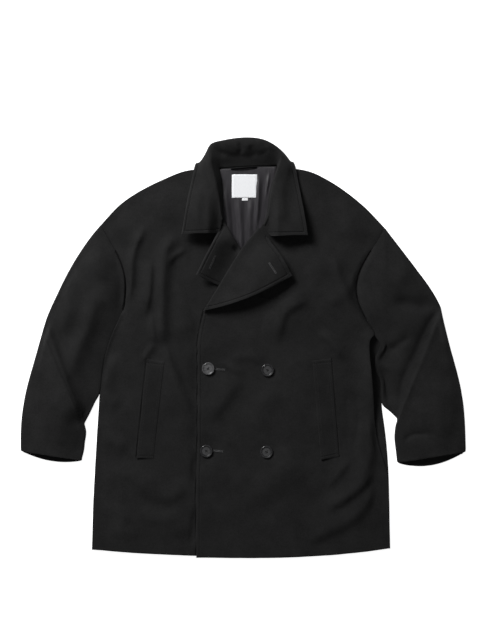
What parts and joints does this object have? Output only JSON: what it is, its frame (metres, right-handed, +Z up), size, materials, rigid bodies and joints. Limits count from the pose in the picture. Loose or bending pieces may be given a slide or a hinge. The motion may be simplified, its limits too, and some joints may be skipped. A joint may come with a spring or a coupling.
{
  "type": "pea coat",
  "caption": "Oversized double-breasted pea coat laid flat and buttoned, with a notched collar turned down, folded-back lapels, slanted welt pockets and a lined neck",
  "frame": {"origin": "middle of the coat's outline seen from above, on the surface it lies on", "axes": "+Z up out of the surface, +Y from the hem to the collar, +X towards the wearer's left side"},
  "size_m": [0.911, 0.8608, 0.0287],
  "materials": {
    "coating": "matte black wool coating",
    "lining": "satin lining, dark purple grey",
    "label": "smooth woven label, white",
    "loop": "black tape",
    "button": "satin dark grey"
  },
  "bodies": {
    "root": {"back": "coating", "front_right": "coating", "front_left": "coating", "sleeve_right": "coating", "sleeve_left": "coating", "lapel_right": "coating", "lapel_left": "coating", "collar": "coating", "welt_right": "coating", "welt_left": "coating", "back_lining": "lining", "neck_label": "label", "size_tab": "label", "hanger_loop": "loop", "button_upper_edge": "button", "button_upper_inner": "button", "button_lower_edge": "button", "button_lower_inner": "button"}
  },
  "joints": []
}
